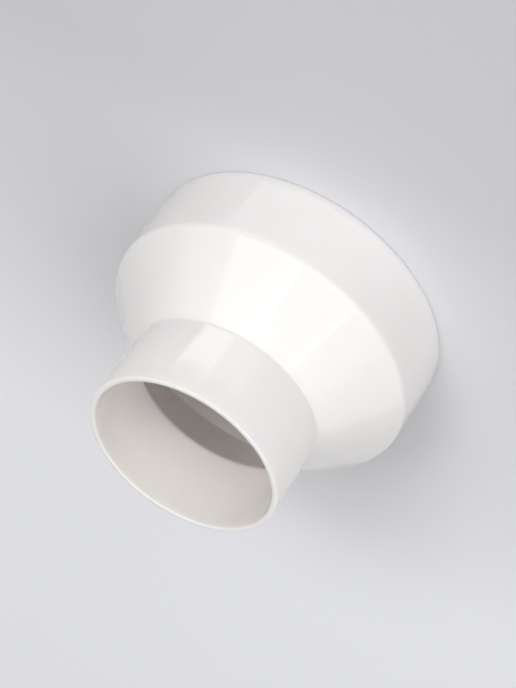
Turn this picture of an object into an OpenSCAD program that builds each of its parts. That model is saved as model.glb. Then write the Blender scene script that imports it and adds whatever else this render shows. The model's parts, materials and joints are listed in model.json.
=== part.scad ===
// Vent pipe adapter: one moulded shell that steps a round duct down from a wide collar to a narrow spigot.
// It stands on the mouth of its collar. Z runs up the axis, and the origin is at the middle of that mouth.

/* [Collar] */
// Outside diameter of the collar, the wide end
collar_od = 160; // [130:1:220]
// Height of the collar, from its mouth to where its wall and the cone's would meet in a sharp corner
collar_len = 40; // [25:1:90]

/* [Spigot] */
// Outside diameter of the spigot, the narrow end
spigot_od = 101; // [60:1:120]
// Height of the spigot, from the sharp corner with the cone to its rim
spigot_len = 41; // [20:1:90]

/* [Cone] */
// Height of the cone, from sharp corner to sharp corner
cone_len = 34; // [20:1:80]
// Radius inside the bend between collar and cone
shoulder_radius = 1.5; // [0.5:0.5:8]
// Radius outside the bend between cone and spigot
neck_radius = 2; // [0.5:0.5:8]

/* [Wall] */
// Thickness of the moulded wall, the same all the way along
wall = 2.8; // [1.6:0.1:4]
// Rounding on both edges of each rim
rim_radius = 0.8; // [0.2:0.1:1]

/* [Hidden] */
$fn = 160;

// Chords that stand for the arc of a bend, and for the arc of a rim's edge.
BEND_STEPS = 10;
RIM_STEPS = 5;

total_len = collar_len + cone_len + spigot_len;

// A rim keeps a flat land in its middle, however thin the wall is.
rim_round = min(rim_radius, wall * 0.4);

// Lean of the cone's wall from the axis.
lean = atan2((collar_od - spigot_od) / 2, cone_len);

// How far each bend reaches along the outside face, back from the sharp corner.
shoulder_reach = (shoulder_radius + wall) * tan(lean / 2);
neck_reach = neck_radius * tan(lean / 2);

// Both faces of the wall turn about one centre at each bend, which keeps the wall even.
shoulder_centre = [collar_od / 2 - wall - shoulder_radius, collar_len - shoulder_reach];
neck_centre = [spigot_od / 2 + neck_radius, collar_len + cone_len + neck_reach];

// Points on an arc round a centre, both ends included.
function arc(centre, radius, from, to, steps) = [
    for (i = [0:steps])
        let (angle = from + (to - from) * i / steps)
            centre + radius * [cos(angle), sin(angle)]
];

// One rounded edge of a rim, in from the face at distance x from the axis. side is 1 outside and -1 inside.
function rim_edge(x, z, side, from, to) =
    arc([x - side * rim_round, z], rim_round, from, to, RIM_STEPS);

// The wall in section: up the outside from the collar's mouth, over the spigot's rim, and down the inside.
module wall_section() {
    collar_r = collar_od / 2;
    spigot_r = spigot_od / 2;
    top_z = total_len - rim_round;
    polygon(concat(
        rim_edge(collar_r, rim_round, 1, -90, 0),
        arc(shoulder_centre, shoulder_radius + wall, 0, lean, BEND_STEPS),
        arc(neck_centre, neck_radius, 180 + lean, 180, BEND_STEPS),
        rim_edge(spigot_r, top_z, 1, 0, 90),
        rim_edge(spigot_r - wall, top_z, -1, 90, 180),
        arc(neck_centre, neck_radius + wall, 180, 180 + lean, BEND_STEPS),
        arc(shoulder_centre, shoulder_radius, lean, 0, BEND_STEPS),
        rim_edge(collar_r - wall, rim_round, -1, 180, 270)
    ));
}

module adapter_body() {
    color("ghostwhite")
        rotate_extrude()
            wall_section();
}

adapter_body();
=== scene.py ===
import json
import math

import bpy
from mathutils import Matrix, Vector

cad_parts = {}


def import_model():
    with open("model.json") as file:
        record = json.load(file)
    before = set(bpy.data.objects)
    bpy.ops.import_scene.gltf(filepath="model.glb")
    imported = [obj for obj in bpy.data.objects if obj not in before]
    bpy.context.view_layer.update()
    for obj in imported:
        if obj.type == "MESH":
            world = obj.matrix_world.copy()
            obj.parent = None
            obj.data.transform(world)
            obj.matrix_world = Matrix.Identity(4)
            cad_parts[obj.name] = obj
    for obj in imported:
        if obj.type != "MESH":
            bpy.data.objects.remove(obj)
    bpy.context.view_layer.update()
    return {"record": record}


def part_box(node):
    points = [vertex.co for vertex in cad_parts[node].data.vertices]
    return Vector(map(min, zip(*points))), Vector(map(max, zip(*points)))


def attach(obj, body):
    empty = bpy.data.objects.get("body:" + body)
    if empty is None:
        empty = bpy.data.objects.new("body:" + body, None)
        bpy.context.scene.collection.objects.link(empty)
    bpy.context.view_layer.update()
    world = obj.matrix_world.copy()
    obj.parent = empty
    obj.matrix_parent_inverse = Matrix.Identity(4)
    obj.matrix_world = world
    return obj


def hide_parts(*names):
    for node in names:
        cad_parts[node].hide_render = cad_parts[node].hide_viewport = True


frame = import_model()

# Sizes of the moulding, in metres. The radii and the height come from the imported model.
MM = 0.001
RADIUS = {mount["name"]: mount["dims"]["r_mm"] * MM
          for mount in frame["record"]["mounts"] if "r_mm" in mount["dims"]}
COLLAR_R = RADIUS["collar_outside"]
SPIGOT_R = RADIUS["spigot_outside"]
WALL = SPIGOT_R - RADIUS["spigot_bore"]
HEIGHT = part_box("adapter_body")[1][2]
COLLAR_LEN = 40 * MM
CONE_LEN = 34 * MM
SHOULDER_RADIUS = 1.5 * MM
NECK_RADIUS = 2 * MM
RIM_ROUND = 0.8 * MM

# How finely the lathe turns, and how many chords stand for each arc and each straight stretch.
TURNS = 384
BEND_STEPS = 12
RIM_STEPS = 6
WALL_STEPS = 10


def arc(centre, radius, start, end, steps):
    """Points (r, z) on an arc, with both ends, angles in degrees."""
    points = []
    for i in range(steps + 1):
        angle = math.radians(start + (end - start) * i / steps)
        points.append((centre[0] + radius * math.cos(angle), centre[1] + radius * math.sin(angle)))
    return points


def wall_section():
    """The wall's closed outline as (r, z), up the outside and down the inside."""
    lean = math.degrees(math.atan2(COLLAR_R - SPIGOT_R, CONE_LEN))
    half = math.tan(math.radians(lean / 2))
    shoulder = (COLLAR_R - WALL - SHOULDER_RADIUS, COLLAR_LEN - (SHOULDER_RADIUS + WALL) * half)
    neck = (SPIGOT_R + NECK_RADIUS, COLLAR_LEN + CONE_LEN + NECK_RADIUS * half)
    top = HEIGHT - RIM_ROUND
    runs = [
        arc((COLLAR_R - RIM_ROUND, RIM_ROUND), RIM_ROUND, -90, 0, RIM_STEPS),
        arc(shoulder, SHOULDER_RADIUS + WALL, 0, lean, BEND_STEPS),
        arc(neck, NECK_RADIUS, 180 + lean, 180, BEND_STEPS),
        arc((SPIGOT_R - RIM_ROUND, top), RIM_ROUND, 0, 90, RIM_STEPS),
        arc((SPIGOT_R - WALL + RIM_ROUND, top), RIM_ROUND, 90, 180, RIM_STEPS),
        arc(neck, NECK_RADIUS + WALL, 180, 180 + lean, BEND_STEPS),
        arc(shoulder, SHOULDER_RADIUS, lean, 0, BEND_STEPS),
        arc((COLLAR_R - WALL + RIM_ROUND, RIM_ROUND), RIM_ROUND, 180, 270, RIM_STEPS),
    ]
    return joined_runs(runs)


def joined_runs(runs):
    """The arcs as one loop. A long straight stretch between two of them is cut into even steps."""
    outline = []
    for index, run in enumerate(runs):
        outline += run
        start = Vector(run[-1])
        gap = Vector(runs[(index + 1) % len(runs)][0]) - start
        steps = WALL_STEPS if gap.length > 10 * MM else 1
        outline += [tuple(start + gap * i / steps) for i in range(1, steps)]
    return outline


def lathe(name, outline):
    """A closed ring of quads: the outline turned once about Z."""
    count = len(outline)
    points, faces = [], []
    for turn in range(TURNS):
        angle = 2 * math.pi * turn / TURNS
        points += [(r * math.cos(angle), r * math.sin(angle), z) for r, z in outline]
        here, there = turn * count, (turn + 1) % TURNS * count
        for i in range(count):
            j = (i + 1) % count
            faces.append((here + i, there + i, there + j, here + j))
    mesh = bpy.data.meshes.new(name)
    mesh.from_pydata(points, [], faces)
    mesh.shade_smooth()
    piece = bpy.data.objects.new(name, mesh)
    bpy.context.scene.collection.objects.link(piece)
    return piece


class Nodes:
    """Short names for adding and joining shader nodes."""

    def __init__(self, name):
        self.material = bpy.data.materials.new(name)
        self.material.use_nodes = True
        self.tree = self.material.node_tree
        self.shader = self.tree.nodes["Principled BSDF"]

    def add(self, kind, inputs=None, **settings):
        node = self.tree.nodes.new(kind)
        for key, value in settings.items():
            setattr(node, key, value)
        for key, value in (inputs or {}).items():
            self.put(node, key, value)
        return node

    def put(self, node, key, value):
        """Sets an input, or links it where the value is another node's output."""
        if isinstance(value, bpy.types.NodeSocket):
            self.tree.links.new(value, node.inputs[key])
        else:
            node.inputs[key].default_value = value

    def noise(self, vector, scale, detail=2.0, roughness=0.5):
        inputs = {"Vector": vector, "Scale": scale, "Detail": detail, "Roughness": roughness}
        return self.add("ShaderNodeTexNoise", inputs).outputs["Fac"]

    def ranged(self, value, low, high, to_low, to_high):
        inputs = {"Value": value, "From Min": low, "From Max": high, "To Min": to_low, "To Max": to_high}
        return self.add("ShaderNodeMapRange", inputs).outputs["Result"]

    def stretched(self, vector, scale):
        return self.add("ShaderNodeMapping", {"Vector": vector, "Scale": scale}).outputs["Vector"]

    def bump(self, height, distance, strength, normal=None):
        inputs = {"Height": height, "Distance": distance, "Strength": strength}
        if normal:
            inputs["Normal"] = normal
        return self.add("ShaderNodeBump", inputs).outputs["Normal"]


PLASTIC = (0.896, 0.862, 0.844)
PLASTIC_SHADE = (0.884, 0.847, 0.825)


def moulded_plastic():
    nodes = Nodes("moulded_plastic")
    place = nodes.add("ShaderNodeTexCoord").outputs["Object"]
    # Cloudy flow of the melt, in colour and in gloss.
    cloud = nodes.noise(place, 28, 3)
    mottle = nodes.noise(place, 160, 4, 0.6)
    tint = nodes.add("ShaderNodeMix", {"Factor": nodes.ranged(cloud, 0.3, 0.7, 0, 1)}, data_type="RGBA")
    tint.inputs["A"].default_value = (*PLASTIC, 1)
    tint.inputs["B"].default_value = (*PLASTIC_SHADE, 1)
    nodes.put(nodes.shader, "Base Color", tint.outputs["Result"])
    gloss = nodes.ranged(mottle, 0.3, 0.7, 0.08, 0.13)
    nodes.put(nodes.shader, "Roughness", gloss)
    # Slow waves of the cooled wall, draw marks along the axis, and a fine skin.
    waves = nodes.noise(place, 35, 1)
    draw = nodes.noise(nodes.stretched(place, (900, 900, 25)), 1, 2)
    skin = nodes.noise(place, 1500, 2)
    normal = nodes.bump(waves, 0.0004, 0.35)
    normal = nodes.bump(draw, 0.00002, 0.3, normal)
    normal = nodes.bump(skin, 0.00002, 0.3, normal)
    nodes.put(nodes.shader, "Normal", normal)
    nodes.shader.inputs["IOR"].default_value = 1.5
    nodes.shader.inputs["Subsurface Weight"].default_value = 1.0
    nodes.shader.inputs["Subsurface Radius"].default_value = (1.0, 0.85, 0.7)
    nodes.shader.inputs["Subsurface Scale"].default_value = 0.0035
    return nodes.material


FLOOR_SIZE = 20.0
# The floor's colour near the part and on its far side, where it is painted lighter as painted light.
FLOOR_NEAR = (0.665, 0.662, 0.690)
FLOOR_FAR_PAINTED_LIGHT = (0.925, 0.93, 0.96)
# The floor's colour is painted lighter along this direction, between two distances from the axis:
# painted light, for a floor lit more brightly on its far side.
PAINTED_LIGHT_WAY = Vector((-0.3, 1, 0))
PAINTED_LIGHT_FROM, PAINTED_LIGHT_TO = -0.12, 0.2


def flat_piece(name, corners):
    mesh = bpy.data.meshes.new(name)
    mesh.from_pydata(corners, [], [tuple(range(len(corners)))])
    piece = bpy.data.objects.new(name, mesh)
    bpy.context.scene.collection.objects.link(piece)
    return piece


def studio_floor():
    half = FLOOR_SIZE / 2
    floor = flat_piece("floor", [(-half, -half, 0), (half, -half, 0), (half, half, 0), (-half, half, 0)])
    nodes = Nodes("floor_painted_light")
    place = nodes.add("ShaderNodeNewGeometry").outputs["Position"]
    along = nodes.add("ShaderNodeVectorMath", {0: place, 1: PAINTED_LIGHT_WAY}, operation="DOT_PRODUCT")
    painted_light_share = nodes.ranged(along.outputs["Value"], PAINTED_LIGHT_FROM, PAINTED_LIGHT_TO, 0, 1)
    # Painted light: the floor's colour blends towards the lighter far colour, as if the far floor were
    # lit more brightly.
    tint = nodes.add("ShaderNodeMix", {"Factor": painted_light_share}, data_type="RGBA")
    tint.inputs["A"].default_value = (*FLOOR_NEAR, 1)
    tint.inputs["B"].default_value = (*FLOOR_FAR_PAINTED_LIGHT, 1)
    nodes.put(nodes.shader, "Base Color", tint.outputs["Result"])
    nodes.shader.inputs["Roughness"].default_value = 1.0
    nodes.shader.inputs["Specular IOR Level"].default_value = 0.0
    floor.data.materials.append(nodes.material)


# Bright cards that lie just over the paper in front of the part and are seen only in its gloss. The wide
# one runs round the collar. Towards -X it dims to the paper's own level, so that its end doesn't show.
# The small one lies where the spigot mirrors it.
CARD_HEIGHT = 0.001
CARD_INNER_R = 0.085
CARD_TURN = (-60, 36)
CARD_STEPS = 12
CARD_FAR_CORNERS = [(0.167, -0.099), (0.083, -0.184), (-0.12, -0.21)]
CARD_GLOW = 1.4
CARD_DIM_GLOW = 0.45
CARD_DIM_TO = -0.06
SMALL_CARD_HEIGHT = 0.002
SMALL_CARD_CORNERS = [(0.113, -0.090), (0.167, -0.100), (0.083, -0.185), (0.058, -0.138)]
SMALL_CARD_GLOW = 2.9


def wide_card():
    start, end = CARD_TURN
    turns = [start + (end - start) * i / CARD_STEPS for i in range(CARD_STEPS + 1)]
    inner = [direction(turn, 0) * CARD_INNER_R for turn in turns]
    corners = [point[:2] for point in inner] + CARD_FAR_CORNERS
    nodes = gloss_card("wide_card", corners, CARD_HEIGHT)
    place = nodes.add("ShaderNodeNewGeometry").outputs["Position"]
    across = nodes.add("ShaderNodeSeparateXYZ", {"Vector": place}).outputs["X"]
    glow = nodes.ranged(across, CARD_DIM_TO, 0, CARD_DIM_GLOW, CARD_GLOW)
    nodes.put(nodes.shader, "Emission Strength", glow)


def small_card():
    nodes = gloss_card("small_card", SMALL_CARD_CORNERS, SMALL_CARD_HEIGHT)
    nodes.shader.inputs["Emission Strength"].default_value = SMALL_CARD_GLOW


def gloss_card(name, corners, height):
    card = flat_piece(name, [(x, y, height) for x, y in corners])
    nodes = Nodes(name)
    nodes.shader.inputs["Emission Color"].default_value = (1, 1, 1, 1)
    nodes.shader.inputs["Base Color"].default_value = (0, 0, 0, 1)
    card.data.materials.append(nodes.material)
    card.visible_camera = False
    card.visible_diffuse = False
    card.visible_shadow = False
    card.visible_transmission = False
    return nodes


def direction(azimuth, elevation):
    """A unit vector. Azimuth 0 is towards -Y, where the camera stands, and 90 is towards +X."""
    az, el = math.radians(azimuth), math.radians(elevation)
    return Vector((math.sin(az) * math.cos(el), -math.cos(az) * math.cos(el), math.sin(el)))


LIGHT_AIM = Vector((0, 0, HEIGHT / 2))
LIGHT_DISTANCE = 8.0


# Flat lamps that face the part. Each fills a range of azimuths and of elevations, in degrees seen from
# the part, at a radiance. None of them shows in the picture itself.
SOFTBOXES = {
    "key": ((10, 63), (28, 56), 2.15),
    "front": ((-40, 9), (12, 56), 1.65),
    "side": ((-80, -40), (12, 56), 1.4),
    "far_side": ((-135, -80), (12, 34), 0.85),
    "right": ((63, 100), (12, 56), 0.6),
    "top": ((-30, 90), (56, 80), 0.7),
}
# The lamp that casts the shadow. It is left out of reflections.
SPOT = ((18, 46), (30, 46), 5.3)


def softbox(name, azimuths, elevations, radiance):
    elevation = sum(elevations) / 2
    width_angle = math.radians(azimuths[1] - azimuths[0]) * math.cos(math.radians(elevation))
    high_angle = math.radians(elevations[1] - elevations[0])
    data = bpy.data.lights.new(name, "AREA")
    data.shape = "RECTANGLE"
    data.size = 2 * LIGHT_DISTANCE * math.tan(width_angle / 2)
    data.size_y = 2 * LIGHT_DISTANCE * math.tan(high_angle / 2)
    data.energy = radiance * math.pi * data.size * data.size_y
    lamp = bpy.data.objects.new(name, data)
    away = direction(sum(azimuths) / 2, elevation)
    lamp.location = LIGHT_AIM + away * LIGHT_DISTANCE
    lamp.rotation_euler = away.to_track_quat("Z", "Y").to_euler()
    lamp.visible_camera = False
    bpy.context.scene.collection.objects.link(lamp)
    return lamp


# The light from all round, and how bright its source looks past the floor, by eye and in the gloss.
SKY_LIGHT = 0.19
SKY_SEEN = 0.65


def world():
    sky = bpy.data.worlds.new("studio")
    sky.use_nodes = True
    tree = sky.node_tree
    ray = tree.nodes.new("ShaderNodeLightPath")
    seen = ray.outputs["Is Camera Ray"]
    for kind in ("Is Glossy Ray", "Is Transmission Ray"):
        either = tree.nodes.new("ShaderNodeMath")
        either.operation = "MAXIMUM"
        tree.links.new(seen, either.inputs[0])
        tree.links.new(ray.outputs[kind], either.inputs[1])
        seen = either.outputs["Value"]
    strength = tree.nodes.new("ShaderNodeMapRange")
    strength.inputs["To Min"].default_value = SKY_LIGHT
    strength.inputs["To Max"].default_value = SKY_SEEN
    tree.links.new(seen, strength.inputs["Value"])
    tree.links.new(strength.outputs["Result"], tree.nodes["Background"].inputs["Strength"])
    tree.nodes["Background"].inputs["Color"].default_value = (1, 1, 1, 1)
    bpy.context.scene.world = sky


# The camera, in metres, fitted to the outlines in the photograph.
CAMERA_PLACE = Vector((0.0013699, -0.9759209, 0.7315820))
CAMERA_RIGHT = Vector((-0.81662448, -0.33493025, -0.47004913))
CAMERA_DOWN = Vector((-0.57716935, 0.47388559, 0.66506239))
CAMERA_LENS = 127.9892


def camera():
    data = bpy.data.cameras.new("camera")
    data.lens = CAMERA_LENS
    data.sensor_width = 36
    eye = bpy.data.objects.new("camera", data)
    up = -CAMERA_DOWN
    back = CAMERA_RIGHT.cross(up)
    turn = Matrix((CAMERA_RIGHT, up, back)).transposed()
    eye.matrix_world = Matrix.Translation(CAMERA_PLACE) @ turn.to_4x4()
    bpy.context.scene.collection.objects.link(eye)
    bpy.context.scene.camera = eye


shell = lathe("adapter_shell", wall_section())
shell.data.materials.append(moulded_plastic())
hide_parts("adapter_body")
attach(shell, "root")

studio_floor()
wide_card()
small_card()
world()
for name, (azimuths, elevations, radiance) in SOFTBOXES.items():
    softbox(name, azimuths, elevations, radiance)
softbox("spot", *SPOT).visible_glossy = False
camera()
bpy.context.scene.view_settings.view_transform = "Standard"
